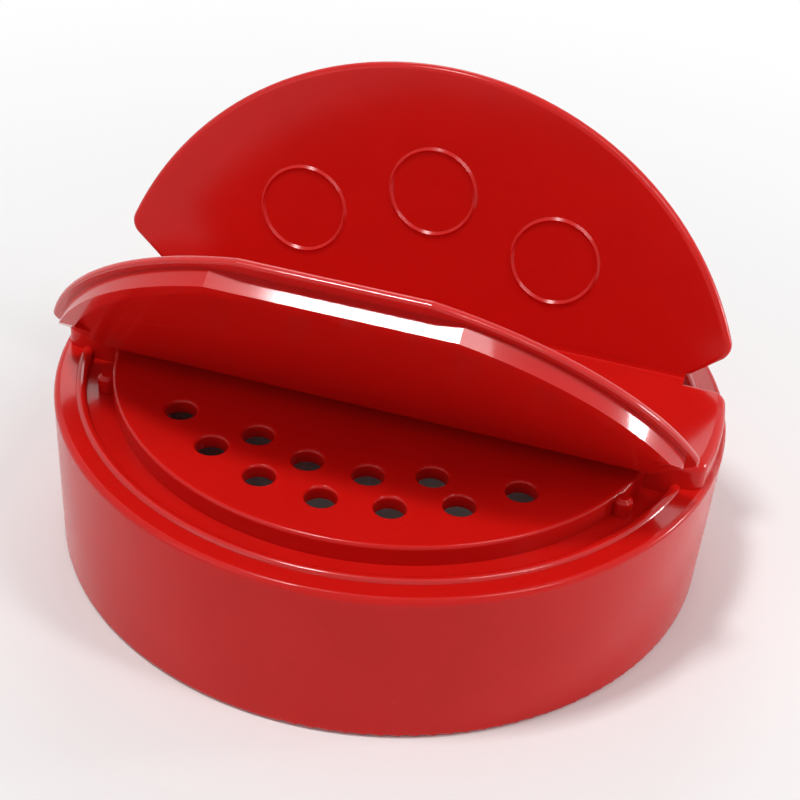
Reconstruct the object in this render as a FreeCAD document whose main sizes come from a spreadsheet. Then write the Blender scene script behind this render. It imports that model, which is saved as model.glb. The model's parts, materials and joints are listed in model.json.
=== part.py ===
"""Flip top closure for a wide 63 mm jar neck, moulded in one shot with two flaps on film hinges.

The frame has +Z up, its origin at the centre of the open end, and the sifter side towards -Y.
All lengths are in millimetres and all angles in degrees.
"""
import FreeCAD, Part
import math
import os
import Sketcher

SHEET = "Sizes"

SIZES = [
    # skirt and neck
    ("neck_bore_radius", 31.6, "inside radius of the skirt, over the jar's thread"),
    ("skirt_wall", 1.4, "skirt wall at the open end"),
    ("skirt_flare", 0.5, "how far the skirt widens up to the ledge, as draft"),
    ("ledge_level", 17.0, "height of the ledge on which the flaps close"),
    ("ledge_thickness", 2.0, "from the ledge down to the seal land"),
    ("seal_land_width", 4.6, "width of the flat ring that meets the jar's lip"),
    ("lead_in", 0.5, "chamfer round the mouth of the bore"),
    ("base_round", 0.5, "rounding of the skirt's lower edge"),
    ("ledge_round", 0.6, "rounding of the skirt's upper edge"),
    # deck
    ("ledge_width", 3.1, "ledge, from the skirt's wall to the groove"),
    ("groove_width", 2.6, "groove between the ledge and the deck"),
    ("groove_depth", 0.9, "groove floor below the ledge"),
    ("ridge_round", 0.3, "rounding of the ledge's inner edge"),
    ("deck_rise", 1.2, "deck above the ledge"),
    ("deck_thickness", 1.4, "deck plate"),
    ("deck_round", 0.4, "rounding of the deck's edge"),
    # bar between the flaps
    ("cover_height", 2.8, "bar and closed flaps above the ledge"),
    ("bar_half_width", 6.9, "middle plane to the bar's side"),
    ("bar_end_inset", 0.5, "bar's end inside the skirt's wall"),
    ("bar_end_round", 1.6, "rounding of the bar's corners in plan"),
    ("bar_top_round", 0.9, "rounding of the bar's upper edge at its ends"),
    ("bar_root", 0.2, "depth to which the bar's foot enters the groove's floor"),
    # film hinges
    ("film_length", 1.4, "bending strip, from the bar to the flap's plate"),
    ("film_thickness", 0.4, "bending strip"),
    ("film_inset", 5.5, "end of the bending strip, in from the skirt's wall"),
    ("film_clearance", 0.1, "between the two halves of the bending strip"),
    # flaps
    ("lip_overhang", 0.6, "flap's lip beyond the skirt, for a fingertip"),
    ("lip_thickness", 0.9, "lip round the flap's top"),
    ("lip_top_round", 0.6, "rounding of the lip's upper edge"),
    ("lip_under_round", 0.25, "rounding of the lip's lower edge"),
    ("rim_inset", 0.9, "rim's outer face, in from the lip's edge"),
    ("rim_wall", 1.4, "flap's rim"),
    ("seat_gap", 0.08, "closed rim above the ledge"),
    ("plate_gap", 0.1, "closed plate above the deck"),
    ("lip_flat_depth", 1.1, "front lip's straight edge, in from its circle"),
    ("thumb_flat_depth", 2.0, "flat in the front rim under the lip, in from the rim's circle"),
    ("hinge_shoulder", 0.6, "plate's straight hinge side beyond the strip's end"),
    ("corner_setback", 4.3, "flap's corners, out from the bar's side"),
    ("corner_round", 1.8, "rounding of the flap's corners in plan"),
    ("heel_length", 3.8, "slope at each end of the rim, from the lip's corner"),
    ("front_open_angle", 56.5, "front flap as it stands"),
    ("back_open_angle", 80.0, "back flap as it stands"),
    # sifter
    ("sift_hole_radius", 1.5, "sifter hole"),
    ("sift_inset", 5.6, "outer row of holes, in from the deck's edge"),
    ("sift_row_pitch", 4.5, "between the rows of holes"),
    ("sift_outer_step", 16.4, "angle between the holes of the outer row"),
    ("sift_inner_step", 19.3, "angle between the holes of the inner row"),
    ("sift_outer_count", 7, "holes in the outer row"),
    ("sift_inner_count", 4, "holes in the inner row"),
    ("hole_lip", 0.35, "rounded lip of each hole"),
    # pour holes, their plugs and the rings over them
    ("pour_hole_radius", 3.8, "pouring hole"),
    ("pour_inset", 6.3, "pouring holes, in from the deck's edge"),
    ("pour_step", 37.8, "angle between the pouring holes"),
    ("pour_count", 3, "pouring holes"),
    ("plug_clearance", 0.26, "plug's root inside its hole"),
    ("plug_taper", 0.35, "how much the plug narrows to its tip"),
    ("plug_wall", 0.8, "tubular plug"),
    ("ring_radius", 4.6, "raised ring on the flap's face"),
    ("ring_width", 0.5, "raised ring"),
    ("ring_height", 0.25, "raised ring"),
    # small lugs in the groove
    ("lug_radius", 0.9, "lug against the deck's edge"),
    ("lug_offset", 0.5, "lug's centre beyond the deck's edge"),
    ("lug_angle", 66.0, "from the middle of the flap to the lug"),
    ("lug_drop", 0.2, "lug's top below the deck"),
    ("lug_round", 0.35, "bevel round the lug's top"),
]


def size(alias):
    """The expression that reads one cell of the sheet."""
    return f"{SHEET}.{alias}"


# Places that follow from the sizes, as expressions.
BASE_RADIUS = f"({size('neck_bore_radius')} + {size('skirt_wall')})"
TOP_RADIUS = f"({BASE_RADIUS} + {size('skirt_flare')})"
LAND_RADIUS = f"({size('neck_bore_radius')} - {size('seal_land_width')})"
GROOVE_RADIUS = f"({TOP_RADIUS} - {size('ledge_width')})"
DECK_RADIUS = f"({GROOVE_RADIUS} - {size('groove_width')})"
BAR_RADIUS = f"({TOP_RADIUS} - {size('bar_end_inset')})"
LIP_RADIUS = f"({TOP_RADIUS} + {size('lip_overhang')})"
RIM_RADIUS = f"({LIP_RADIUS} - {size('rim_inset')})"
LAND_LEVEL = f"({size('ledge_level')} - {size('ledge_thickness')})"
GROOVE_LEVEL = f"({size('ledge_level')} - {size('groove_depth')})"
DECK_LEVEL = f"({size('ledge_level')} + {size('deck_rise')})"
DECK_UNDERSIDE = f"({DECK_LEVEL} - {size('deck_thickness')})"
TOP_LEVEL = f"({size('ledge_level')} + {size('cover_height')})"
RIM_LEVEL = f"({size('ledge_level')} + {size('seat_gap')})"
PLATE_LEVEL = f"({DECK_LEVEL} + {size('plate_gap')})"
LIP_LEVEL = f"({TOP_LEVEL} - {size('lip_thickness')})"
HINGE_OFFSET = f"({size('bar_half_width')} + {size('film_length')} / 2)"
HINGE_LEVEL = f"({TOP_LEVEL} - {size('film_thickness')} / 2)"
PLATE_EDGE = f"({size('bar_half_width')} + {size('film_length')})"
CORNER_OFFSET = f"({size('bar_half_width')} + {size('corner_setback')})"
FILM_END = f"({TOP_RADIUS} - {size('film_inset')})"
SHOULDER_END = f"({FILM_END} + {size('hinge_shoulder')})"
LIP_FLAT = f"({LIP_RADIUS} - {size('lip_flat_depth')})"
RIM_FLAT = f"({RIM_RADIUS} - {size('thumb_flat_depth')})"
SIFT_OUTER_RADIUS = f"({DECK_RADIUS} - {size('sift_inset')})"
SIFT_INNER_RADIUS = f"({SIFT_OUTER_RADIUS} - {size('sift_row_pitch')})"
POUR_RADIUS = f"({DECK_RADIUS} - {size('pour_inset')})"
LUG_RADIUS = f"({DECK_RADIUS} + {size('lug_offset')})"

FRONT = -1
BACK = 1
TOLERANCE = 1e-4
CUT_MARGIN = 0.5  # how far a cutting profile runs past the faces that it cuts

document = FreeCAD.newDocument("flip_top_closure")


# ---- sheet -------------------------------------------------------------------------------------

def make_sheet():
    """Writes every driving size into the sheet, one row each, with its alias and its meaning."""
    sheet = document.addObject("Spreadsheet::Sheet", SHEET)
    for row, (alias, value, meaning) in enumerate(SIZES, start=1):
        sheet.set(f"A{row}", alias)
        sheet.set(f"B{row}", str(value))
        sheet.set(f"C{row}", meaning)
        sheet.setAlias(f"B{row}", alias)
    document.recompute()
    return sheet


def value_of(expression):
    """The present value of an expression on the sheet's cells."""
    result = document.getObject(SHEET).evalExpression(expression)
    return float(getattr(result, "Value", result))


# ---- sketches ----------------------------------------------------------------------------------

def negative(expression):
    return f"(-({expression}))"


def signed(side, expression):
    return expression if side > 0 else negative(expression)


def origin_part(body, role):
    """The body's own origin plane or axis of that role."""
    return next(item for item in body.Origin.OriginFeatures if item.Role == role)


class Profile:
    """A sketch on one of a body's origin planes, whose points are tied to the sheet."""

    def __init__(self, body, name, plane="XY_Plane", offset=(None, None, None), turn=None):
        self.sketch = body.newObject("Sketcher::SketchObject", name)
        self.sketch.AttachmentSupport = (origin_part(body, plane), [""])
        self.sketch.MapMode = "FlatFace"
        if turn is not None:
            axis, expression = turn
            about = FreeCAD.Rotation(FreeCAD.Vector(*axis), 1.0)
            self.sketch.AttachmentOffset = FreeCAD.Placement(FreeCAD.Vector(), about)
            self.sketch.setExpression("AttachmentOffset.Rotation.Angle", expression)
        for letter, expression in zip("xyz", offset):
            if expression is not None:
                self.sketch.setExpression(f"AttachmentOffset.Base.{letter}", expression)

    def tie(self, constraint, expression):
        index = self.sketch.addConstraint(constraint)
        self.sketch.setExpression(f"Constraints[{index}]", expression)

    def pin(self, shape, point, across=None, up=None):
        """Ties a point's distances from the sketch's origin to expressions; "0" puts it on the axis."""
        for kind, own_axis, expression in (("DistanceX", -2, across), ("DistanceY", -1, up)):
            if expression is None:
                continue
            distance = value_of(expression)
            if distance == 0:
                self.sketch.addConstraint(Sketcher.Constraint("PointOnObject", shape, point, own_axis))
            elif distance > 0:
                self.tie(Sketcher.Constraint(kind, -1, 1, shape, point, distance), expression)
            else:
                flipped = Sketcher.Constraint(kind, shape, point, -1, 1, -distance)
                self.tie(flipped, negative(expression))

    def polygon(self, corners):
        """Closed outline through corners, each a pair of expressions."""
        points = [FreeCAD.Vector(value_of(across), value_of(up), 0) for across, up in corners]
        lines = []
        for start, end in zip(points, points[1:] + points[:1]):
            lines.append(self.sketch.addGeometry(Part.LineSegment(start, end)))
        for line, follower in zip(lines, lines[1:] + lines[:1]):
            self.join(line, 2, follower, 1)
        for line, (across, up) in zip(lines, corners):
            self.pin(line, 1, across, up)
        return lines

    def line(self, start, end):
        """Line between two points, each a pair of expressions, not yet tied."""
        ends = [FreeCAD.Vector(value_of(across), value_of(up), 0) for across, up in (start, end)]
        return self.sketch.addGeometry(Part.LineSegment(*ends))

    def join(self, first, first_end, second, second_end):
        self.sketch.addConstraint(
            Sketcher.Constraint("Coincident", first, first_end, second, second_end))

    def circle(self, across, up, radius):
        """Circle with its centre and radius tied to expressions."""
        centre = FreeCAD.Vector(value_of(across), value_of(up), 0)
        normal = FreeCAD.Vector(0, 0, 1)
        shape = self.sketch.addGeometry(Part.Circle(centre, normal, value_of(radius)))
        self.pin(shape, 3, across, up)
        self.tie(Sketcher.Constraint("Radius", shape, value_of(radius)), radius)
        return shape

    def arc(self, radius, start, end):
        """Arc about the sketch's origin, counterclockwise between two angles, its radius tied."""
        circle = Part.Circle(FreeCAD.Vector(), FreeCAD.Vector(0, 0, 1), value_of(radius))
        shape = self.sketch.addGeometry(Part.ArcOfCircle(circle, start, end))
        self.join(shape, 3, -1, 1)
        self.tie(Sketcher.Constraint("Radius", shape, value_of(radius)), radius)
        return shape

    def axis(self, across):
        """Upright construction line, about which a profile is turned."""
        foot, head = (across, "0"), (across, "1")
        shape = self.line(foot, head)
        self.sketch.toggleConstruction(shape)
        self.pin(shape, 1, across, "0")
        self.sketch.addConstraint(Sketcher.Constraint("Vertical", shape))
        self.sketch.addConstraint(Sketcher.Constraint("DistanceY", shape, 1, shape, 2, 1.0))

    def strip(self, half_width, radius, corner=None):
        """Band across the middle: two straight sides and two arcs, with its corners rounded or sharp."""
        inset = corner or "0"
        half_angle = math.asin(value_of(f"({half_width} - {inset}) / ({radius} - {inset})"))
        right = self.arc(radius, -half_angle, half_angle)
        left = self.arc(radius, math.pi - half_angle, math.pi + half_angle)
        reach = f"(sqrt(({radius} - {inset}) ^ 2 - ({half_width} - {inset}) ^ 2))"
        upper = self.line((reach, half_width), (negative(reach), half_width))
        lower = self.line((negative(reach), negative(half_width)), (reach, negative(half_width)))
        for side, level in ((upper, half_width), (lower, negative(half_width))):
            self.sketch.addConstraint(Sketcher.Constraint("Horizontal", side))
            self.pin(side, 1, None, level)
        for first, second in ((right, upper), (upper, left), (left, lower), (lower, right)):
            if corner is None:
                self.join(first, 2, second, 1)
            else:
                self.blend_corner(first, second, corner, reach, half_width)

    def blend_corner(self, first, second, radius, reach, half_width):
        """Tangent arc from the end of one shape to the start of the next, round a strip's corner."""
        shapes = self.sketch.Geometry
        start, end = shapes[first].EndPoint, shapes[second].StartPoint
        inset = value_of(radius)
        x_side = math.copysign(1, start.x + end.x)
        y_side = math.copysign(1, start.y + end.y)
        centre = FreeCAD.Vector(x_side * value_of(reach), y_side * (value_of(half_width) - inset), 0)
        circle = Part.Circle(centre, FreeCAD.Vector(0, 0, 1), inset)
        angles = [math.atan2(point.y - centre.y, point.x - centre.x) for point in (start, end)]
        if angles[1] < angles[0]:
            angles[1] += 2 * math.pi
        shape = self.sketch.addGeometry(Part.ArcOfCircle(circle, *angles))
        self.sketch.addConstraint(Sketcher.Constraint("Tangent", first, 2, shape, 1))
        self.sketch.addConstraint(Sketcher.Constraint("Tangent", shape, 2, second, 1))
        self.tie(Sketcher.Constraint("Radius", shape, inset), radius)


# ---- features ----------------------------------------------------------------------------------

def feature(body, kind, name, profile, **settings):
    """A PartDesign feature on a profile; text settings are expressions."""
    made = body.newObject(f"PartDesign::{kind}", name)
    made.Profile = profile.sketch
    for key, setting in settings.items():
        if isinstance(setting, str):
            made.setExpression(key, setting)
        else:
            setattr(made, key, setting)
    profile.sketch.Visibility = False
    document.recompute()
    return made


def turned(body, kind, name, profile, axis="V_Axis"):
    """A full turn of a profile about one of its own axes."""
    return feature(body, kind, name, profile, ReferenceAxis=(profile.sketch, [axis]), Angle=360.0)


def rounded(body, name, base, radius, is_wanted):
    """Fillet on the edges of the base that pass a test."""
    edges = base.Shape.Edges
    names = [f"Edge{number}" for number, edge in enumerate(edges, start=1) if is_wanted(edge)]
    if not names:
        raise RuntimeError(f"{name}: no edge to round")
    made = body.newObject("PartDesign::Fillet", name)
    made.Base = (base, names)
    made.setExpression("Radius", radius)
    document.recompute()
    return made


def repeated(body, name, original, axis, angle, count):
    """Copies of a feature round an axis, over an angle, with the first in place."""
    pattern = body.newObject("PartDesign::PolarPattern", name)
    pattern.Originals = [original]
    pattern.Axis = axis
    pattern.setExpression("Angle", angle)
    pattern.setExpression("Occurrences", count)
    body.Tip = pattern
    document.recompute()
    return pattern


def near(value, expression):
    return abs(value - value_of(expression)) < TOLERANCE


def edge_middle(edge):
    return edge.valueAt((edge.FirstParameter + edge.LastParameter) / 2)


def on_circle(radius, level):
    """Test for edges that lie on a level circle about the upright axis."""
    def test(edge):
        middle = edge_middle(edge)
        flat = all(near(vertex.Z, level) for vertex in edge.Vertexes)
        return flat and near(middle.z, level) and near(math.hypot(middle.x, middle.y), radius)
    return test


# ---- closure body ------------------------------------------------------------------------------

def make_closure_body():
    """Skirt, ledge, deck and bar, with the holes of both sides."""
    body = document.addObject("PartDesign::Body", "closure_body")
    upright = (origin_part(body, "Z_Axis"), [""])

    section = Profile(body, "shell_section", "XZ_Plane")
    section.polygon([
        ("0", LAND_LEVEL),
        (size("neck_bore_radius"), LAND_LEVEL),
        (size("neck_bore_radius"), size("lead_in")),
        (f"({size('neck_bore_radius')} + {size('lead_in')})", "0"),
        (BASE_RADIUS, "0"),
        (TOP_RADIUS, size("ledge_level")),
        (GROOVE_RADIUS, size("ledge_level")),
        (GROOVE_RADIUS, GROOVE_LEVEL),
        (DECK_RADIUS, GROOVE_LEVEL),
        (DECK_RADIUS, DECK_LEVEL),
        ("0", DECK_LEVEL),
    ])
    shell = turned(body, "Revolution", "shell", section)
    base = rounded(body, "base_edge", shell, size("base_round"), on_circle(BASE_RADIUS, "0"))
    ledge = rounded(body, "ledge_edge", base, size("ledge_round"),
                    on_circle(TOP_RADIUS, size("ledge_level")))
    ridge = rounded(body, "ridge_edge", ledge, size("ridge_round"),
                    on_circle(GROOVE_RADIUS, size("ledge_level")))
    rounded(body, "deck_edge", ridge, size("deck_round"), on_circle(DECK_RADIUS, DECK_LEVEL))

    make_bar(body)
    make_underside(body)
    make_film_stubs(body)
    make_lugs(body, upright)

    make_hole_row(body, "sift_outer", FRONT, size("sift_hole_radius"), SIFT_OUTER_RADIUS,
                  size("sift_outer_step"), size("sift_outer_count"), upright)
    make_hole_row(body, "sift_inner", FRONT, size("sift_hole_radius"), SIFT_INNER_RADIUS,
                  size("sift_inner_step"), size("sift_inner_count"), upright)
    make_hole_row(body, "pour", BACK, size("pour_hole_radius"), POUR_RADIUS,
                  size("pour_step"), size("pour_count"), upright)
    return body


def make_bar(body):
    """The raised bar that carries both hinges, with rounded ends."""
    half_width = size("bar_half_width")
    foot = f"({GROOVE_LEVEL} - {size('bar_root')})"
    outline = Profile(body, "bar_outline", offset=(None, None, foot))
    outline.strip(half_width, BAR_RADIUS, size("bar_end_round"))
    bar = feature(body, "Pad", "bar", outline, Length=f"{TOP_LEVEL} - {foot}")

    def top_end(edge):
        middle = edge_middle(edge)
        return near(middle.z, TOP_LEVEL) and near(math.hypot(middle.x, middle.y), BAR_RADIUS)

    rounded(body, "bar_ends", bar, size("bar_top_round"), top_end)


def make_underside(body):
    """Thins the deck from below inside the seal land, and cores out the bar."""
    recess = Profile(body, "recess_outline", offset=(None, None, LAND_LEVEL))
    recess.circle("0", "0", LAND_RADIUS)
    feature(body, "Pocket", "recess", recess, Reversed=True, Length=f"{DECK_UNDERSIDE} - {LAND_LEVEL}")

    wall = size("deck_thickness")
    core = Profile(body, "core_outline", offset=(None, None, DECK_UNDERSIDE))
    core.strip(f"({size('bar_half_width')} - {wall})", f"({LAND_RADIUS} - {wall})")
    feature(body, "Pocket", "bar_core", core, Reversed=True,
            Length=f"{TOP_LEVEL} - {wall} - {DECK_UNDERSIDE}")


def make_film_stubs(body):
    """The bar's halves of the two bending strips."""
    outline = Profile(body, "film_stub_outline", offset=(None, None, TOP_LEVEL))
    reach = f"({HINGE_OFFSET} - {size('film_thickness')} / 2 - {size('film_clearance')})"
    outline.polygon([
        (FILM_END, negative(reach)),
        (FILM_END, reach),
        (negative(FILM_END), reach),
        (negative(FILM_END), negative(reach)),
    ])
    feature(body, "Pad", "film_stubs", outline, Reversed=True, Length=size("film_thickness"))


def make_lugs(body, upright):
    """A small lug with a rounded top against the deck's edge, near each end of each groove."""
    for name, angle in (("lug_a", f"(90 - {size('lug_angle')})"), ("lug_b", f"({size('lug_angle')} - 90)")):
        section = Profile(body, f"{name}_section", "XZ_Plane", turn=((0, 1, 0), angle))
        section.axis(LUG_RADIUS)
        rim = f"({LUG_RADIUS} + {size('lug_radius')})"
        top = f"({DECK_LEVEL} - {size('lug_drop')})"
        foot = f"({GROOVE_LEVEL} - {size('bar_root')})"
        shoulder = f"({top} - {size('lug_round')})"
        brow = f"({rim} - {size('lug_round')})"
        section.polygon([(LUG_RADIUS, foot), (rim, foot), (rim, shoulder), (brow, top), (LUG_RADIUS, top)])
        lug = turned(body, "Revolution", name, section, "Axis0")
        repeated(body, f"{name}_pair", lug, upright, "180", "2")


def make_hole_row(body, name, side, radius, pitch_radius, step, count, axis):
    """A row of holes through the deck on an arc, each with a rounded lip."""
    first = f"(-{step} * ({count} - 1) / 2)"
    section = Profile(body, f"{name}_section", "YZ_Plane", turn=((0, 1, 0), first))
    centre = signed(side, pitch_radius)
    wall = f"({centre} + {radius})"
    lip = size("hole_lip")
    below = f"({DECK_UNDERSIDE} - {CUT_MARGIN})"
    above = f"({DECK_LEVEL} + {CUT_MARGIN})"
    section.axis(centre)

    # up the wall, round the lip, out over the deck and back along the axis
    lip_centre = FreeCAD.Vector(value_of(wall) + value_of(lip), value_of(DECK_LEVEL) - value_of(lip), 0)
    circle = Part.Circle(lip_centre, FreeCAD.Vector(0, 0, 1), value_of(lip))
    lip_arc = section.sketch.addGeometry(Part.ArcOfCircle(circle, math.pi / 2, math.pi))
    wide = f"({wall} + {lip})"
    corners = [(wide, DECK_LEVEL), (wide, above), (centre, above), (centre, below), (wall, below),
               (wall, f"({DECK_LEVEL} - {lip})")]
    lines = [section.line(start, end) for start, end in zip(corners, corners[1:])]
    for line, follower in zip(lines, lines[1:]):
        section.join(line, 2, follower, 1)
    for line, (across, up) in zip(lines, corners):
        section.pin(line, 1, across, up)
    section.pin(lines[-1], 2, *corners[-1])
    section.join(lip_arc, 1, lines[0], 1)
    section.join(lip_arc, 2, lines[-1], 2)
    section.tie(Sketcher.Constraint("Radius", lip_arc, value_of(lip)), lip)

    hole = turned(body, "Groove", f"{name}_hole", section, "Axis0")
    return repeated(body, f"{name}_holes", hole, axis, f"{step} * ({count} - 1)", count)


# ---- flaps -------------------------------------------------------------------------------------

def flap_outline(body, name, side, level, radius, flat, corner, shoulder, hinge_edge):
    """Outline in plan of a closed flap about the closure's axis, round or with a straight far edge."""
    outline = Profile(body, name, offset=(None, signed(-side, HINGE_OFFSET), level))
    corner_reach = f"(sqrt({radius} ^ 2 - {corner} ^ 2))"
    hinge_side = [(negative(corner_reach), signed(side, corner)),
                  (negative(shoulder), signed(side, hinge_edge)),
                  (shoulder, signed(side, hinge_edge)),
                  (corner_reach, signed(side, corner))]
    lines = [outline.line(start, end) for start, end in zip(hinge_side, hinge_side[1:])]
    for line, follower in zip(lines, lines[1:]):
        outline.join(line, 2, follower, 1)
    for line, (across, up) in zip(lines[1:], hinge_side[1:]):
        outline.pin(line, 1, across, up)
    outline.pin(lines[0], 1, None, hinge_side[0][1])
    outline.pin(lines[-1], 2, None, hinge_side[-1][1])

    corner_angle = math.asin(value_of(corner) / value_of(radius))
    turns = [(corner_angle, math.pi - corner_angle)]
    if flat is not None:
        flat_angle = math.asin(value_of(flat) / value_of(radius))
        turns = [(corner_angle, flat_angle), (math.pi - flat_angle, math.pi - corner_angle)]
    begin, finish = (1, 2) if side == BACK else (2, 1)
    arcs = []
    for start, end in turns:
        ends = (start, end) if side == BACK else (-end, -start)
        arcs.append(outline.arc(radius, *ends))
    outline.join(lines[-1], 2, arcs[0], begin)
    outline.join(arcs[-1], finish, lines[0], 1)

    if flat is not None:
        flat_reach = f"(sqrt({radius} ^ 2 - {flat} ^ 2))"
        far_edge = signed(side, flat)
        straight = outline.line((flat_reach, far_edge), (negative(flat_reach), far_edge))
        outline.join(arcs[0], finish, straight, 1)
        outline.join(straight, 2, arcs[-1], begin)
        outline.pin(straight, 1, None, far_edge)
        outline.pin(straight, 2, None, far_edge)
    return outline


def make_flap(name, side, open_angle, lip_flat, rim_flat):
    """A flap on its hinge line: a lip over a hollow rim, drawn closed and then swung open."""
    body = document.addObject("PartDesign::Body", name)
    body.Placement.Rotation = FreeCAD.Rotation(FreeCAD.Vector(side, 0, 0), 1.0)
    body.setExpression("Placement.Rotation.Angle", open_angle)
    body.setExpression("Placement.Base.y", signed(side, HINGE_OFFSET))
    body.setExpression("Placement.Base.z", HINGE_LEVEL)

    def plan_corner(radius, corner):
        def test(edge):
            middle = edge_middle(edge)
            centre_y = middle.y + side * value_of(HINGE_OFFSET)
            upright = not near(edge.BoundBox.ZLength, "0")
            on_edge = near(math.hypot(middle.x, centre_y), radius)
            return upright and on_edge and near(abs(centre_y), corner)
        return test

    def lip_edge(level):
        def test(edge):
            middle = edge_middle(edge)
            centre_y = abs(middle.y + side * value_of(HINGE_OFFSET))
            beyond_hinge = centre_y > value_of(PLATE_EDGE) + TOLERANCE
            return near(middle.z, f"{level} - {HINGE_LEVEL}") and beyond_hinge
        return test

    lip_outline = flap_outline(body, "lip_outline", side, f"{LIP_LEVEL} - {HINGE_LEVEL}",
                               LIP_RADIUS, lip_flat, CORNER_OFFSET, SHOULDER_END, PLATE_EDGE)
    lip = feature(body, "Pad", "lip", lip_outline, Length=size("lip_thickness"))
    corners = rounded(body, "lip_corners", lip, size("corner_round"),
                      plan_corner(LIP_RADIUS, CORNER_OFFSET))
    upper = rounded(body, "lip_top_edge", corners, size("lip_top_round"), lip_edge(TOP_LEVEL))
    rounded(body, "lip_under_edge", upper, size("lip_under_round"), lip_edge(LIP_LEVEL))

    inset, wall = size("rim_inset"), size("rim_wall")
    rim_corner = f"({CORNER_OFFSET} + {inset})"
    rim_outline = flap_outline(body, "rim_outline", side, f"{RIM_LEVEL} - {HINGE_LEVEL}",
                               RIM_RADIUS, rim_flat, rim_corner, f"({SHOULDER_END} - {inset})", PLATE_EDGE)
    rim = feature(body, "Pad", "rim", rim_outline,
                  Length=f"{TOP_LEVEL} - {size('lip_thickness')} / 2 - {RIM_LEVEL}")
    rounded(body, "rim_corners", rim, size("corner_round"), plan_corner(RIM_RADIUS, rim_corner))

    hollow_flat = None if rim_flat is None else f"({rim_flat} - {wall})"
    hollow_outline = flap_outline(body, "hollow_outline", side, f"{PLATE_LEVEL} - {HINGE_LEVEL}",
                                  f"({RIM_RADIUS} - {wall})", hollow_flat, f"({rim_corner} + {wall})",
                                  f"({SHOULDER_END} - {inset} - {wall})", f"({PLATE_EDGE} - {CUT_MARGIN})")
    feature(body, "Pocket", "hollow", hollow_outline, Length=f"{PLATE_LEVEL} - {RIM_LEVEL}")
    make_heels(body, side)
    make_film(body, side)
    return body, lip_outline


def make_heels(body, side):
    """Slopes the rim's two ends up to the plate, so that they clear the bar as the flap swings."""
    cut = Profile(body, "heel_section", "YZ_Plane")
    near_side = signed(side, f"({PLATE_EDGE} - {HINGE_OFFSET} - {CUT_MARGIN})")
    brow = signed(side, f"({CORNER_OFFSET} - {HINGE_OFFSET})")
    toe = signed(side, f"({CORNER_OFFSET} - {HINGE_OFFSET} + {size('heel_length')})")
    plate, rim = f"({PLATE_LEVEL} - {HINGE_LEVEL})", f"({RIM_LEVEL} - {HINGE_LEVEL})"
    below = f"({rim} - {CUT_MARGIN})"
    cut.polygon([(near_side, plate), (brow, plate), (toe, rim), (toe, below), (near_side, below)])
    feature(body, "Pocket", "heels", cut, Midplane=True, Length=f"2 * {LIP_RADIUS}")


def make_film(body, side):
    """The flap's half of the bending strip, with its round nose on the hinge line."""
    strip = Profile(body, "film_section", "YZ_Plane")
    half = f"({size('film_thickness')} / 2)"
    root = signed(side, f"({size('film_length')} / 2 + {size('film_thickness')})")
    lower = strip.line(("0", negative(half)), (root, negative(half)))
    end = strip.line((root, negative(half)), (root, half))
    upper = strip.line((root, half), ("0", half))
    start = math.pi / 2 if side == BACK else -math.pi / 2
    nose = strip.arc(half, start, start + math.pi)
    strip.join(lower, 2, end, 1)
    strip.join(end, 2, upper, 1)
    low_end, high_end = (2, 1) if side == BACK else (1, 2)
    strip.join(nose, low_end, lower, 1)
    strip.join(nose, high_end, upper, 2)
    strip.pin(lower, 1, "0", None)
    strip.pin(lower, 2, root, negative(half))
    strip.pin(upper, 1, root, half)
    strip.pin(upper, 2, "0", None)
    feature(body, "Pad", "film", strip, Midplane=True, Length=f"2 * {FILM_END}")


def make_plugs_and_rings(body, side, outline):
    """A tubular plug under the plate for each pouring hole, with a raised ring over it."""
    axis = (outline.sketch, ["N_Axis"])
    step, count = size("pour_step"), size("pour_count")
    first = f"(-{step} * ({count} - 1) / 2)"
    span = f"{step} * ({count} - 1)"
    to_centre = (signed(-side, HINGE_OFFSET), negative(HINGE_LEVEL), None)
    centre = signed(side, POUR_RADIUS)
    turn = ((0, 1, 0), first)

    root = f"({size('pour_hole_radius')} - {size('plug_clearance')})"
    tip = f"({root} - {size('plug_taper')})"
    plate_middle = f"(({PLATE_LEVEL} + {TOP_LEVEL}) / 2)"
    section = Profile(body, "plug_section", "YZ_Plane", to_centre, turn)
    section.axis(centre)
    section.polygon([
        (f"({centre} + {root})", plate_middle),
        (f"({centre} + {root})", PLATE_LEVEL),
        (f"({centre} + {tip})", DECK_UNDERSIDE),
        (f"({centre} + {tip} - {size('plug_wall')})", DECK_UNDERSIDE),
        (f"({centre} + {root} - {size('plug_wall')})", plate_middle),
    ])
    plug = turned(body, "Revolution", "plug", section, "Axis0")
    repeated(body, "plugs", plug, axis, span, count)

    outer = size("ring_radius")
    inner = f"({outer} - {size('ring_width')})"
    crest = f"({outer} - {size('ring_width')} / 2)"
    section = Profile(body, "ring_section", "YZ_Plane", to_centre, turn)
    section.axis(centre)
    section.polygon([
        (f"({centre} + {outer})", f"({TOP_LEVEL} - {size('ring_height')})"),
        (f"({centre} + {outer})", TOP_LEVEL),
        (f"({centre} + {crest})", f"({TOP_LEVEL} + {size('ring_height')})"),
        (f"({centre} + {inner})", TOP_LEVEL),
        (f"({centre} + {inner})", f"({TOP_LEVEL} - {size('ring_height')})"),
    ])
    ring = turned(body, "Revolution", "ring", section, "Axis0")
    repeated(body, "rings", ring, axis, span, count)


# ---- build -------------------------------------------------------------------------------------

def check(parts):
    """Stops the build if an object failed or a part isn't one valid solid."""
    for item in document.Objects:
        if any(word in item.State for word in ("Invalid", "Error")):
            raise RuntimeError(f"{item.Label}: {item.State}")
    for part in parts:
        shape = part.Shape
        if shape.isNull() or not shape.isValid() or len(shape.Solids) != 1:
            raise RuntimeError(f"{part.Label}: not one valid solid")


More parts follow.
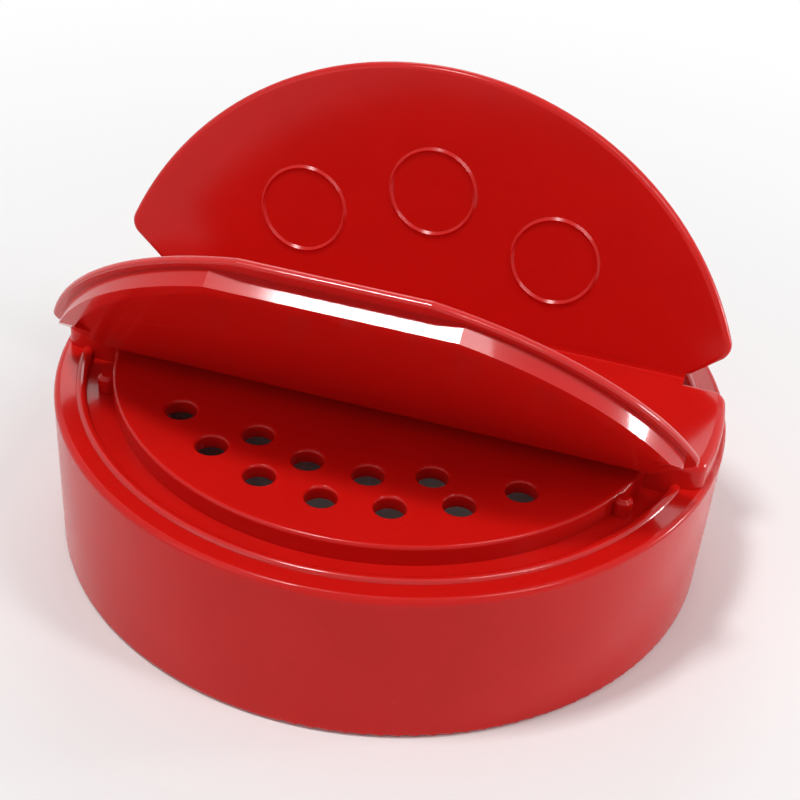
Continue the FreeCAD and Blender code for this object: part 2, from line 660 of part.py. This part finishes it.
def main():
    make_sheet()
    closure_body = make_closure_body()
    front_flap, _ = make_flap("front_flap", FRONT, size("front_open_angle"), LIP_FLAT, RIM_FLAT)
    back_flap, back_outline = make_flap("back_flap", BACK, size("back_open_angle"), None, None)
    make_plugs_and_rings(back_flap, BACK, back_outline)
    document.recompute()

    parts = [closure_body, front_flap, back_flap]
    check(parts)
    os.makedirs("parts", exist_ok=True)
    for part in parts:
        part.Shape.exportStep(f"parts/{part.Label}.step")
        print(part.Label, round(part.Shape.Volume, 2), part.Shape.BoundBox)


main()
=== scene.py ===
"""Looks of a flip top cap: moulded plastic, film hinges, the jar's thread, and a small studio around them."""

import json
import math

import bpy
from mathutils import Matrix, Vector


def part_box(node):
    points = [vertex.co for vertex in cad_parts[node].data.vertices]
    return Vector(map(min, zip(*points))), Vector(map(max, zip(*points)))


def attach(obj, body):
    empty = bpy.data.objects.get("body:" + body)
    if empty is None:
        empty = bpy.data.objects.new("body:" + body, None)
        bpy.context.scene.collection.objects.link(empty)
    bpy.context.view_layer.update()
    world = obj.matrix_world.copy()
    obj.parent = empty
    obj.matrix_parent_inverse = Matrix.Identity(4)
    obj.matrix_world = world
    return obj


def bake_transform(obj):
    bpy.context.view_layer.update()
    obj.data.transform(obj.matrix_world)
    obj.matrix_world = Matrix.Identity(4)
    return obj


bl_info = {
    "name": "Flip Top Cap Looks",
    "version": (1, 0, 0),
    "blender": (4, 5, 0),
    "location": "View3D > Sidebar > Cap",
    "description": "Adds the film hinges, the inner thread, the plastic and the studio of a flip top cap",
    "category": "Object",
}

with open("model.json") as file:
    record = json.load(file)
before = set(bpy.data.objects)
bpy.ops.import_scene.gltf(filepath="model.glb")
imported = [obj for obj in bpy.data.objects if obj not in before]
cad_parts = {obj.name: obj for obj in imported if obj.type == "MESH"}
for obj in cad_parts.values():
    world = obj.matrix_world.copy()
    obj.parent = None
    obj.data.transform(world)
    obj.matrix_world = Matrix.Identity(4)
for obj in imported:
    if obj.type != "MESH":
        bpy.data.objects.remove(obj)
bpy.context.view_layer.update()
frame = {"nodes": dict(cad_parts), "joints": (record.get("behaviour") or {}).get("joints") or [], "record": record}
CAP = "cap"
FLAPS = ("front_flap", "back_flap")


def joint_of(flap):
    """The hinge that carries a flap."""
    return next(joint for joint in frame["joints"] if joint["child"] == flap)


def mount(name):
    """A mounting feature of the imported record."""
    return next(item for item in frame["record"]["mounts"] if item["name"] == name)


SKIRT_RADIUS, _, BODY_TOP = (float(part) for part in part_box("closure_body")[1])
BORE = mount("neck_thread")["dims"]["r_mm"] / 1000


# ---------------------------------------------------------------- settings


class PlasticSettings(bpy.types.PropertyGroup):
    """Colour and surface of the moulded plastic."""

    colour: bpy.props.FloatVectorProperty(
        name="Colour", description="Red of the moulded plastic", subtype="COLOR",
        size=3, min=0, max=1, default=(0.58, 0.007, 0.005))
    roughness: bpy.props.FloatProperty(
        name="Roughness", description="Roughness of a clean moulded face", min=0, max=1, default=0.22)
    specular: bpy.props.FloatProperty(
        name="Specular", description="Strength of the plain reflection", min=0, max=1, default=0.15)
    ripple: bpy.props.FloatProperty(
        name="Ripple height", description="Height of the slow waves where the wall has shrunk",
        unit="LENGTH", min=0, default=0.00003)
    grain: bpy.props.FloatProperty(
        name="Grain height", description="Height of the finest texture of the mould",
        unit="LENGTH", min=0, default=0.000004)


class FilmSettings(bpy.types.PropertyGroup):
    """Sizes of the film hinges."""

    thickness: bpy.props.FloatProperty(
        name="Thickness", description="Thickness of the bending film", unit="LENGTH", default=0.00042)
    half_width: bpy.props.FloatProperty(
        name="Half width", description="Middle of the cap to the film's end", unit="LENGTH", default=0.0279)
    reach: bpy.props.FloatProperty(
        name="Reach", description="Length of film on each side of the hinge line",
        unit="LENGTH", default=0.00055)
    bend: bpy.props.FloatProperty(
        name="Bend radius", description="Radius of the film's bend at its middle",
        unit="LENGTH", default=0.00025)
    steps: bpy.props.IntProperty(
        name="Steps", description="Cuts across the bend of the film", default=10)


class RidgeSettings(bpy.types.PropertyGroup):
    """Sizes of the low ridge on the ledge."""

    radius: bpy.props.FloatProperty(
        name="Radius", description="Radius of the ridge's crest about the cap's axis",
        unit="LENGTH", default=0.03085)
    width: bpy.props.FloatProperty(
        name="Width", description="Width of the round that the ridge is part of",
        unit="LENGTH", default=0.0011)
    height: bpy.props.FloatProperty(
        name="Height", description="Ridge's crest above the ledge", unit="LENGTH", default=0.00035)
    ledge: bpy.props.FloatProperty(
        name="Ledge", description="Height of the ledge over the open rim", unit="LENGTH", default=0.017)


class ThreadSettings(bpy.types.PropertyGroup):
    """Sizes of the thread inside the skirt."""

    height: bpy.props.FloatProperty(
        name="Height", description="How far the thread stands out of the bore", unit="LENGTH", default=0.0012)
    width: bpy.props.FloatProperty(
        name="Width", description="Width of the thread at its foot", unit="LENGTH", default=0.0021)
    pitch: bpy.props.FloatProperty(
        name="Pitch", description="Rise of the thread in one turn", unit="LENGTH", default=0.0042)
    turns: bpy.props.FloatProperty(
        name="Turns", description="Number of turns", default=1.4)
    start: bpy.props.FloatProperty(
        name="Start height", description="Height of the thread's first end over the open rim",
        unit="LENGTH", default=0.0036)


class StudioSettings(bpy.types.PropertyGroup):
    """Camera, lamps and floor."""

    azimuth: bpy.props.FloatProperty(
        name="Azimuth", description="Camera's turn about the cap's axis, from the front",
        subtype="ANGLE", default=math.radians(14.375))
    elevation: bpy.props.FloatProperty(
        name="Elevation", description="Camera's angle above the floor",
        subtype="ANGLE", default=math.radians(34.872))
    roll: bpy.props.FloatProperty(
        name="Roll", description="Camera's turn about its own axis",
        subtype="ANGLE", default=math.radians(4.753))
    distance: bpy.props.FloatProperty(
        name="Distance", description="Camera's distance from the point it looks at",
        unit="LENGTH", default=0.19003)
    aim: bpy.props.FloatVectorProperty(
        name="Aim", description="Point that the camera looks at", subtype="TRANSLATION",
        unit="LENGTH", size=3, default=(-0.000825, 0.006807, 0.009756))
    ambient: bpy.props.FloatProperty(
        name="Ambient", description="Strength of the light from all round", min=0, default=0.38)
    white_from: bpy.props.FloatProperty(
        name="White from", description="Distance from the cap's axis where the floor starts to turn white",
        unit="LENGTH", default=SKIRT_RADIUS * 1.2)
    white_to: bpy.props.FloatProperty(
        name="White to", description="Distance from the cap's axis where the floor is all white",
        unit="LENGTH", default=SKIRT_RADIUS * 4.5)
    lens: bpy.props.FloatProperty(
        name="Lens", description="Focal length in millimetres on a 36 mm sensor", default=80.8)


# ---------------------------------------------------------------- shader maths


class Wire:
    """A shader socket that adds a Math node for each operation on it."""

    def __init__(self, tree, socket):
        self.tree = tree
        self.socket = socket

    def _math(self, operation, first, second=None):
        inputs = {0: first} if second is None else {0: first, 1: second}
        return self.tree.node("ShaderNodeMath", {"operation": operation}, inputs)

    def __add__(self, other):
        return self._math("ADD", self, other)

    def __radd__(self, other):
        return self._math("ADD", other, self)

    def __sub__(self, other):
        return self._math("SUBTRACT", self, other)

    def __rsub__(self, other):
        return self._math("SUBTRACT", other, self)

    def __mul__(self, other):
        return self._math("MULTIPLY", self, other)

    def __rmul__(self, other):
        return self._math("MULTIPLY", other, self)


class Shader:
    """The node tree of a new material."""

    def __init__(self, name):
        self.material = bpy.data.materials.new(name)
        self.material.use_nodes = True
        self.tree = self.material.node_tree
        self.tree.nodes.clear()

    @classmethod
    def of_world(cls, world):
        """The empty node tree of a world."""
        shader = cls.__new__(cls)
        shader.tree = world.node_tree
        shader.tree.nodes.clear()
        return shader

    def node(self, kind, settings=None, inputs=None, output=0):
        """Adds a node, with its settings set first, and returns one of its outputs."""
        item = self.tree.nodes.new(kind)
        for name, value in (settings or {}).items():
            setattr(item, name, value)
        for name, value in (inputs or {}).items():
            if isinstance(value, Wire):
                self.tree.links.new(value.socket, item.inputs[name])
            else:
                item.inputs[name].default_value = value
        return Wire(self, item.outputs[output]) if item.outputs else item

    def place(self, scale=(1, 1, 1), turn=(0, 0, 0)):
        """Coordinates of the piece itself, in metres, stretched and turned."""
        coordinates = self.node("ShaderNodeTexCoord", output="Object")
        return self.node("ShaderNodeMapping", {}, {"Vector": coordinates, "Scale": scale, "Rotation": turn})

    def noise(self, size, detail=3, roughness=0.5, scale=(1, 1, 1), turn=(0, 0, 0)):
        """Noise whose grains are about size metres across."""
        return self.node("ShaderNodeTexNoise", {}, {
            "Vector": self.place(scale, turn), "Scale": 1 / size, "Detail": detail, "Roughness": roughness})

    def blend(self, factor, first, second):
        """A mix of two colours."""
        return self.node("ShaderNodeMix", {"data_type": "RGBA"}, {0: factor, 6: first, 7: second}, output=2)

    def between(self, value, low, high, new_low=0.0, new_high=1.0):
        """A value moved smoothly from one range to another."""
        return self.node("ShaderNodeMapRange", {"interpolation_type": "SMOOTHSTEP"}, {
            "Value": value, "From Min": low, "From Max": high, "To Min": new_low, "To Max": new_high})

    def surface(self, socket):
        """Puts a shader on the surface."""
        self.node("ShaderNodeOutputMaterial", {}, {"Surface": socket})
        return self.material


def shade_of(colour, factor):
    """A colour made lighter or darker."""
    return tuple(min(1.0, part * factor) for part in colour[:3]) + (1.0,)


def make_plastic(settings, name, coat, coat_roughness, paler=1.0):
    """Moulded polypropylene with shrink waves, a faint flow pattern and light scuffs under a given polish."""
    shader = Shader(name)
    slow = shader.noise(0.016, detail=2)
    flow = shader.noise(0.007, detail=4, scale=(1, 0.35, 1))
    fine = shader.noise(0.0004, detail=2)
    hairlines = shader.noise(0.0016, detail=4, roughness=0.7, scale=(0.10, 2.4, 1), turn=(0, 0, 0.6))
    handled = shader.between(shader.noise(0.011, detail=1), 0.50, 0.66)
    scuff = shader.between(hairlines, 0.62, 0.74) * handled
    colour = shader.blend(
        shader.between(flow, 0.32, 0.68),
        shade_of(settings.colour, 0.98 * paler), shade_of(settings.colour, 1.02 * paler))
    even = shader.between(slow, 0.3, 0.7, settings.roughness - 0.02, settings.roughness + 0.02)
    rough = even + scuff * 0.08
    height = slow * settings.ripple + fine * settings.grain - scuff * settings.grain
    normal = shader.node("ShaderNodeBump", {}, {"Strength": 1.0, "Distance": 1.0, "Height": height})
    plastic = shader.node("ShaderNodeBsdfPrincipled", {}, {
        "Base Color": colour, "Roughness": rough, "Normal": normal,
        "IOR": 1.49, "Specular IOR Level": settings.specular,
        "Coat Weight": coat, "Coat Roughness": coat_roughness,
        "Subsurface Weight": 0.30, "Subsurface Radius": (1.0, 0.12, 0.04), "Subsurface Scale": 0.0014})
    return shader.surface(plastic)


def seen_directly(shader):
    """One where a camera, mirror or glass ray arrives, and zero for the rays that light the cap."""
    paths = [shader.node("ShaderNodeLightPath", output=name)
             for name in ("Is Camera Ray", "Is Glossy Ray", "Is Transmission Ray")]
    first = shader.node("ShaderNodeMath", {"operation": "MAXIMUM"}, {0: paths[0], 1: paths[1]})
    return shader.node("ShaderNodeMath", {"operation": "MAXIMUM"}, {0: first, 1: paths[2]})


def make_floor_paper(settings):
    """Pale paper that reads white and keeps the cap's shadow."""
    shader = Shader("floor_paper")
    tooth = shader.noise(0.0009, detail=3)
    tint = shader.noise(0.05, detail=2)
    colour = shader.blend(tint, (0.84, 0.84, 0.84, 1), (0.87, 0.87, 0.87, 1))
    normal = shader.node("ShaderNodeBump", {}, {"Strength": 0.1, "Distance": 0.0001, "Height": tooth})
    paper = shader.node("ShaderNodeBsdfPrincipled", {}, {
        "Base Color": colour, "Roughness": shader.between(tint, 0.3, 0.7, 0.75, 0.85), "Normal": normal})
    from_cap = shader.node("ShaderNodeVectorMath", {"operation": "LENGTH"}, {0: shader.place()}, output=1)
    far = shader.between(from_cap, settings.white_from, settings.white_to)
    white = shader.node("ShaderNodeEmission", {}, {"Color": (1, 1, 1, 1), "Strength": 1.0})
    whiter = far * seen_directly(shader)
    return shader.surface(shader.node("ShaderNodeMixShader", {}, {0: whiter, 1: paper, 2: white}))


# ---------------------------------------------------------------- modelling helpers


def deselect_all():
    bpy.ops.object.select_all(action="DESELECT")


def only(piece):
    """Selects one piece and makes it active."""
    deselect_all()
    piece.select_set(True)
    bpy.context.view_layer.objects.active = piece


def settle(piece):
    """Puts a finished piece's place into its mesh."""
    only(piece)
    bpy.ops.object.transform_apply(location=True, rotation=True, scale=True)


def finish_mesh(piece, material, body=None):
    """Merges doubles, turns the faces outwards, smooths them and gives the material."""
    only(piece)
    bpy.ops.object.mode_set(mode="EDIT")
    bpy.ops.mesh.select_all(action="SELECT")
    bpy.ops.mesh.remove_doubles(threshold=0.000002)
    bpy.ops.mesh.normals_make_consistent(inside=False)
    bpy.ops.object.mode_set(mode="OBJECT")
    bpy.ops.object.shade_smooth_by_angle(angle=math.radians(35))
    piece.data.materials.clear()
    piece.data.materials.append(material)
    if body:
        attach(piece, body)


# ---------------------------------------------------------------- operators


class CAP_OT_plastic(bpy.types.Operator):
    """Give the housing, the front flap and the back flap their red plastic, each as its mould is polished"""

    bl_idname = "cap.plastic"
    bl_label = "Moulded Parts"

    def execute(self, context):
        settings = context.scene.cap_plastic
        plastics = {
            "closure_body": make_plastic(settings, "housing_plastic", coat=0.15, coat_roughness=0.10),
            "front_flap": make_plastic(settings, "polished_plastic", coat=0.50, coat_roughness=0.07),
            "back_flap": make_plastic(settings, "satin_plastic", coat=0.20, coat_roughness=0.20),
        }
        for name, plastic in plastics.items():
            node = frame["nodes"][name]
            node.data.materials.clear()
            node.data.materials.append(plastic)
        return {"FINISHED"}


class CAP_OT_thread(bpy.types.Operator):
    """Model the thread bead inside the skirt"""

    bl_idname = "cap.thread"
    bl_label = "Jar Thread"

    def execute(self, context):
        sizes = context.scene.cap_thread
        half = sizes.width / 2
        deselect_all()
        bpy.ops.mesh.primitive_plane_add(
            size=1, location=(BORE, 0, sizes.start), rotation=(math.pi / 2, 0, 0))
        bead = context.active_object
        bead.name = "jar_thread"
        bead.scale = (sizes.height * 2, sizes.width, 1)
        settle(bead)
        only(bead)
        bpy.ops.object.mode_set(mode="EDIT")
        bpy.ops.mesh.select_all(action="SELECT")
        bpy.ops.mesh.delete(type="ONLY_FACE")
        bpy.ops.object.mode_set(mode="OBJECT")
        for vertex in bead.data.vertices:
            inward = vertex.co.x < BORE
            if inward:
                vertex.co.z = sizes.start + (vertex.co.z - sizes.start) * 0.45
            else:
                vertex.co.x = BORE + sizes.height * 0.15
        screw = bead.modifiers.new("Turns", "SCREW")
        screw.axis = "Z"
        screw.angle = 2 * math.pi * sizes.turns
        screw.screw_offset = sizes.pitch * sizes.turns
        screw.steps = int(120 * sizes.turns)
        screw.render_steps = screw.steps
        only(bead)
        bpy.ops.object.modifier_apply(modifier=screw.name)
        self.run_out(bead, sizes)
        finish_mesh(bead, bpy.data.materials["housing_plastic"], CAP)
        return {"FINISHED"}

    def run_out(self, bead, sizes):
        """Sinks both ends of the thread into the wall over a short stretch, and closes them."""
        stretch = 30 / 360
        for vertex in bead.data.vertices:
            part_turn = (math.atan2(vertex.co.y, vertex.co.x) / (2 * math.pi)) % 1
            whole = round((vertex.co.z - sizes.start) / sizes.pitch - part_turn)
            turned = min(max(whole + part_turn, 0), sizes.turns)
            share = min(1, 0.1 + min(turned, sizes.turns - turned) / stretch)
            radius = math.hypot(vertex.co.x, vertex.co.y)
            wanted = BORE + (radius - BORE) * share if radius < BORE else radius
            vertex.co.x *= wanted / radius
            vertex.co.y *= wanted / radius
        only(bead)
        bpy.ops.object.mode_set(mode="EDIT")
        bpy.ops.mesh.select_all(action="SELECT")
        bpy.ops.mesh.fill_holes(sides=4)
        bpy.ops.object.mode_set(mode="OBJECT")


class CAP_OT_ridge(bpy.types.Operator):
    """Model the low rounded ridge along the ledge's inner edge, inside the closed flaps' rims"""

    bl_idname = "cap.ridge"
    bl_label = "Ledge Ridge"

    def execute(self, context):
        sizes = context.scene.cap_ridge
        level = sizes.ledge - sizes.width / 2 + sizes.height
        deselect_all()
        bpy.ops.mesh.primitive_torus_add(
            major_segments=240, minor_segments=20, major_radius=sizes.radius,
            minor_radius=sizes.width / 2, location=(0, 0, level))
        ridge = context.active_object
        ridge.name = "ledge_ridge"
        settle(ridge)
        only(ridge)
        bpy.ops.object.mode_set(mode="EDIT")
        bpy.ops.mesh.select_all(action="SELECT")
        bpy.ops.mesh.bisect(
            plane_co=(0, 0, sizes.ledge - sizes.width / 4), plane_no=(0, 0, 1), clear_inner=True)
        bpy.ops.mesh.select_all(action="DESELECT")
        bpy.ops.mesh.select_mode(type="EDGE")
        bpy.ops.mesh.select_non_manifold()
        bpy.ops.mesh.bridge_edge_loops()
        bpy.ops.object.mode_set(mode="OBJECT")
        finish_mesh(ridge, bpy.data.materials["polished_plastic"], CAP)
        return {"FINISHED"}


class CAP_OT_films(bpy.types.Operator):
    """Model the thin film that bends between the bar and each flap"""

    bl_idname = "cap.films"
    bl_label = "Film Hinges"

    def execute(self, context):
        sizes = context.scene.cap_film
        material = make_plastic(
            context.scene.cap_plastic, "film_plastic", coat=0.15, coat_roughness=0.10, paler=1.12)
        for flap in FLAPS:
            self.add_film(flap, sizes, material)
        return {"FINISHED"}

    def add_film(self, flap, sizes, material):
        joint = joint_of(flap)
        hinge = Vector(joint["pos_m"])
        side = math.copysign(1, hinge.y)
        opened = math.radians(max(abs(limit) for limit in joint["range_deg"] if limit < 0))
        short = sizes.bend * math.tan(opened / 2)
        first = hinge.y - side * sizes.reach
        bend_start = hinge.y - side * short
        deselect_all()
        bpy.ops.mesh.primitive_plane_add(size=1, location=(0, (first + bend_start) / 2, hinge.z))
        film = bpy.context.active_object
        film.name = f"{flap}_film"
        film.scale = (2 * sizes.half_width, abs(first - bend_start), 1)
        settle(film)
        self.select_edge(film, Vector((0, bend_start, hinge.z)))
        bpy.ops.mesh.spin(
            steps=sizes.steps, angle=-side * opened,
            center=(0, bend_start, hinge.z + sizes.bend), axis=(1, 0, 0))
        bpy.ops.object.mode_set(mode="OBJECT")
        along = Vector((0, side * math.cos(opened), math.sin(opened)))
        self.select_edge(film, hinge + along * short)
        bpy.ops.mesh.extrude_region_move(TRANSFORM_OT_translate={"value": along * (sizes.reach - short)})
        bpy.ops.object.mode_set(mode="OBJECT")
        wall = film.modifiers.new("Film", "SOLIDIFY")
        wall.thickness = sizes.thickness
        wall.offset = 0
        only(film)
        bpy.ops.object.modifier_apply(modifier=wall.name)
        finish_mesh(film, material)
        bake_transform(film)

    @staticmethod
    def select_edge(piece, place):
        """Selects, in edit mode, the vertices of the edge across the cap that passes through a place."""
        only(piece)
        bpy.ops.object.mode_set(mode="EDIT")
        bpy.ops.mesh.select_mode(type="EDGE")
        bpy.ops.mesh.select_all(action="DESELECT")
        bpy.ops.object.mode_set(mode="OBJECT")
        found = 0
        for edge in piece.data.edges:
            ends = [piece.data.vertices[index].co for index in edge.vertices]
            if all((Vector((0, end.y, end.z)) - place).length < 0.00002 for end in ends):
                edge.select = True
                found += 1
        if not found:
            raise RuntimeError(f"{piece.name}: no edge at {tuple(place)}")
        bpy.ops.object.mode_set(mode="EDIT")


class CAP_OT_stage(bpy.types.Operator):
    """Set up the floor, the lamps, the world and the camera"""

    bl_idname = "cap.stage"
    bl_label = "Studio"

    def execute(self, context):
        sizes = context.scene.cap_studio
        self.add_floor(sizes)
        self.add_world(context.scene)
        self.add_lamp(
            "overhead_softbox", place=(-0.085, -0.092, 0.450), size=(0.060, 0.068), brightness=66.0)
        self.add_lamp(
            "upper_right_strip", place=(0.250, -0.075, 0.360), size=(0.050, 0.260), brightness=10.0)
        self.add_lamp(
            "rear_softbox", place=(-0.100, 0.370, 0.300), size=(0.250, 0.150), brightness=3.0)
        self.add_lamp(
            "rear_right_window", place=(0.298, 0.112, 0.050), size=(0.040, 0.050), brightness=40.0)
        self.add_lamp(
            "front_left_fill", place=(-0.300, -0.380, 0.260), size=(0.300, 0.300), brightness=1.0)
        self.add_camera(context.scene)
        return {"FINISHED"}

    def add_floor(self, sizes):
        deselect_all()
        bpy.ops.mesh.primitive_circle_add(vertices=96, radius=2.0, fill_type="NGON", location=(0, 0, 0))
        floor = bpy.context.active_object
        floor.name = "floor"
        floor.data.materials.append(make_floor_paper(sizes))

    def add_world(self, scene):
        """White to the eye and in reflections, and softer where it lights the cap."""
        sizes = scene.cap_studio
        world = bpy.data.worlds.new("studio_air")
        world.use_nodes = True
        shader = Shader.of_world(world)
        strength = shader.between(seen_directly(shader), 0, 1, sizes.ambient, 1.0)
        background = shader.node("ShaderNodeBackground", {}, {"Color": (1, 1, 1, 1), "Strength": strength})
        shader.node("ShaderNodeOutputWorld", {}, {"Surface": background})
        scene.world = world

    def add_lamp(self, name, place, size, brightness):
        """A rectangular lamp that faces the cap; brightness is what a mirror would show."""
        lamp = bpy.data.lights.new(name, "AREA")
        lamp.shape = "RECTANGLE"
        lamp.size, lamp.size_y = size
        lamp.energy = brightness * math.pi * size[0] * size[1]
        item = bpy.data.objects.new(name, lamp)
        bpy.context.scene.collection.objects.link(item)
        item.location = place
        centre = Vector((0, 0, BODY_TOP))
        item.rotation_euler = (centre - item.location).to_track_quat("-Z", "Y").to_euler()

    def add_camera(self, scene):
        sizes = scene.cap_studio
        away = Vector((
            math.sin(sizes.azimuth) * math.cos(sizes.elevation),
            -math.cos(sizes.azimuth) * math.cos(sizes.elevation),
            math.sin(sizes.elevation)))
        right = Vector((math.cos(sizes.azimuth), math.sin(sizes.azimuth), 0))
        upward = away.cross(right)
        turn = Matrix((right, upward, away)).transposed()
        roll = Matrix.Rotation(sizes.roll, 3, "Z")
        data = bpy.data.cameras.new("camera")
        data.lens = sizes.lens
        data.sensor_width = 36
        camera = bpy.data.objects.new("camera", data)
        scene.collection.objects.link(camera)
        camera.rotation_euler = (turn @ roll).to_euler()
        camera.location = Vector(sizes.aim) + away * sizes.distance
        scene.camera = camera
        scene.view_settings.view_transform = "Standard"


class CAP_PT_panel(bpy.types.Panel):
    """The cap's pieces in the sidebar"""

    bl_label = "Flip Top Cap"
    bl_idname = "CAP_PT_panel"
    bl_space_type = "VIEW_3D"
    bl_region_type = "UI"
    bl_category = "Cap"

    def draw(self, context):
        for operator in OPERATORS:
            self.layout.operator(operator.bl_idname)


SETTINGS = {
    "cap_plastic": PlasticSettings,
    "cap_film": FilmSettings,
    "cap_ridge": RidgeSettings,
    "cap_thread": ThreadSettings,
    "cap_studio": StudioSettings,
}
OPERATORS = (CAP_OT_plastic, CAP_OT_ridge, CAP_OT_films, CAP_OT_thread, CAP_OT_stage)


def register():
    for item in (*SETTINGS.values(), *OPERATORS, CAP_PT_panel):
        bpy.utils.register_class(item)
    for name, item in SETTINGS.items():
        setattr(bpy.types.Scene, name, bpy.props.PointerProperty(type=item))


def unregister():
    for name in SETTINGS:
        delattr(bpy.types.Scene, name)
    for item in (CAP_PT_panel, *reversed(OPERATORS), *SETTINGS.values()):
        bpy.utils.unregister_class(item)


def main():
    register()
    bpy.ops.cap.plastic()
    bpy.ops.cap.ridge()
    bpy.ops.cap.films()
    bpy.ops.cap.thread()
    bpy.ops.cap.stage()


if __name__ == "__main__":
    main()
